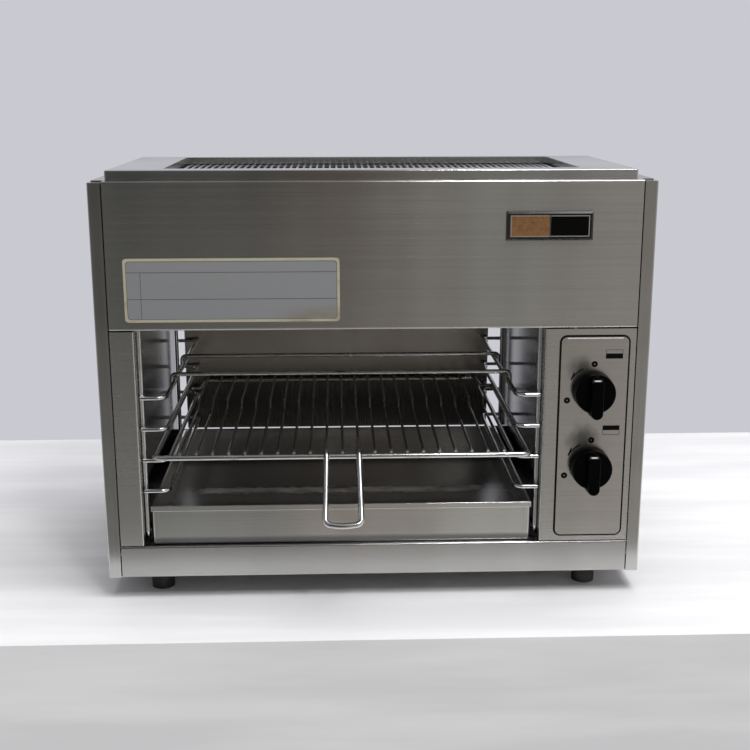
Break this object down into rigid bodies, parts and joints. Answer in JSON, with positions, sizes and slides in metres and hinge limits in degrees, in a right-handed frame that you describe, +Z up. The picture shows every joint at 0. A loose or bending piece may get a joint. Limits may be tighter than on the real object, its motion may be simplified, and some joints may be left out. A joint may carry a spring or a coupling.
{
  "type": "overhead gas grill",
  "caption": "Table-top overhead gas grill: steel body open at the front, burners above, pull-out wire rack, drip tray, push-and-turn knobs.",
  "frame": {"origin": "On the floor plane under the feet, at the middle of the overall width and the overall depth, which runs from the handle's tip to the end of the gas inlet.", "axes": "+Z up, +Y from the front to the back, +X to the right as seen from the front. Metres."},
  "size_m": [0.48, 0.347, 0.382],
  "materials": {
    "side_steel": "brushed stainless sheet, grain upright",
    "fascia_steel": "brushed stainless sheet, darker from the room it reflects",
    "front_steel": "brushed stainless sheet, grain along the front",
    "dial_steel": "fine brushed dial plate with worn patches round the knobs",
    "badge_black": "glossy black moulding with a bevelled edge",
    "badge_inlay": "metallic bronze and black inlays, bare",
    "notice_grey": "silver-grey film with a yellowed border, bare",
    "cavity_steel": "polished stainless, heat darkened",
    "dark_steel": "heat-darkened steel",
    "cover_steel": "bright stainless with soft stains",
    "rod_chrome": "plated wire, slightly dulled",
    "tray_steel": "stainless tray with a flat folded hem",
    "foot_rubber": "black rubber",
    "screw_steel": "zinc-plated steel",
    "nozzle_brass": "turned brass",
    "cock_alloy": "die-cast alloy",
    "pipe_aluminium": "bent aluminium tube",
    "electrode_ceramic": "glazed white ceramic",
    "plaque_ceramic": "perforated cordierite, matte",
    "lead_rubber": "silicone-insulated lead",
    "knob_black": "black moulded plastic, satin",
    "igniter_plastic": "black moulded plastic"
  },
  "bodies": {
    "root": {"back_reflector": "dark_steel", "badge_frame": "badge_black", "badge_plates": "badge_inlay", "base_pan": "front_steel", "body_screws": "screw_steel", "burner_box_front": "dark_steel", "burner_box_rear": "dark_steel", "burner_brackets": "cavity_steel", "ceramic_plaques_front": "plaque_ceramic", "ceramic_plaques_rear": "plaque_ceramic", "control_panel": "front_steel", "control_plate": "dial_steel", "cross_wires": "rod_chrome", "electrodes": "electrode_ceramic", "feet": "foot_rubber", "floor_plate": "cavity_steel", "flue_baffle": "dark_steel", "foot_screws": "screw_steel", "front_fascia": "fascia_steel", "front_post_left": "front_steel", "gas_cock_front": "cock_alloy", "gas_cock_rear": "cock_alloy", "gas_inlet": "nozzle_brass", "gas_manifold": "cock_alloy", "gas_nozzles": "nozzle_brass", "guide_clips": "cavity_steel", "igniter_front": "igniter_plastic", "igniter_leads": "lead_rubber", "igniter_rear": "igniter_plastic", "inner_side_left": "cavity_steel", "mixing_tube_front": "dark_steel", "mixing_tube_rear": "dark_steel", "notice_plate": "notice_grey", "outlet_pipe_front": "pipe_aluminium", "outlet_pipe_rear": "pipe_aluminium", "partition": "cavity_steel", "rack_guide_left": "rod_chrome", "rack_guide_right": "rod_chrome", "rear_frame": "side_steel", "return_spring_front": "screw_steel", "return_spring_rear": "screw_steel", "roof_deck": "side_steel", "side_panel_left": "side_steel", "side_panel_right": "side_steel", "top_cover": "cover_steel", "top_grille": "rod_chrome"},
    "rack": {"rack_frame": "rod_chrome", "rack_rods": "rod_chrome", "rack_handle": "rod_chrome"},
    "tray": {"drip_tray": "tray_steel"},
    "plug_front": {"cock_plug_front": "nozzle_brass"},
    "knob_front": {"knob_front": "knob_black", "spindle_front": "screw_steel"},
    "shutter_front": {"air_shutter_front": "screw_steel"},
    "plug_rear": {"cock_plug_rear": "nozzle_brass"},
    "knob_rear": {"knob_rear": "knob_black", "spindle_rear": "screw_steel"},
    "shutter_rear": {"air_shutter_rear": "screw_steel"}
  },
  "joints": [
    {"name": "rack_slide", "type": "slide", "parent": "root", "child": "rack", "axis": [0, -1, 0], "range_m": [0, 0.24]},
    {"name": "tray_slide", "type": "slide", "parent": "root", "child": "tray", "axis": [0, -1, 0], "range_m": [0, 0.24]},
    {"name": "knob_front_turn", "type": "hinge", "parent": "root", "child": "plug_front", "pos_m": [0.1916, -0.0825, 0.1898], "axis": [0, -1, 0], "range_deg": [0, 90]},
    {"name": "knob_front_push", "type": "slide", "parent": "plug_front", "child": "knob_front", "axis": [0, 1, 0], "range_m": [0, 0.0035], "stiffness_N_per_m": 900, "springref_m": -0.002, "deforming": ["return_spring_front"]},
    {"name": "air_shutter_front_turn", "type": "hinge", "parent": "root", "child": "shutter_front", "pos_m": [0.189, -0.0405, 0.273], "axis": [1, 0, 0], "range_deg": [0, 45]},
    {"name": "knob_rear_turn", "type": "hinge", "parent": "root", "child": "plug_rear", "pos_m": [0.1916, -0.0825, 0.1205], "axis": [0, -1, 0], "range_deg": [0, 90]},
    {"name": "knob_rear_push", "type": "slide", "parent": "plug_rear", "child": "knob_rear", "axis": [0, 1, 0], "range_m": [0, 0.0035], "stiffness_N_per_m": 900, "springref_m": -0.002, "deforming": ["return_spring_rear"]},
    {"name": "air_shutter_rear_turn", "type": "hinge", "parent": "root", "child": "shutter_rear", "pos_m": [0.189, 0.0655, 0.273], "axis": [1, 0, 0], "range_deg": [0, 45]}
  ]
}
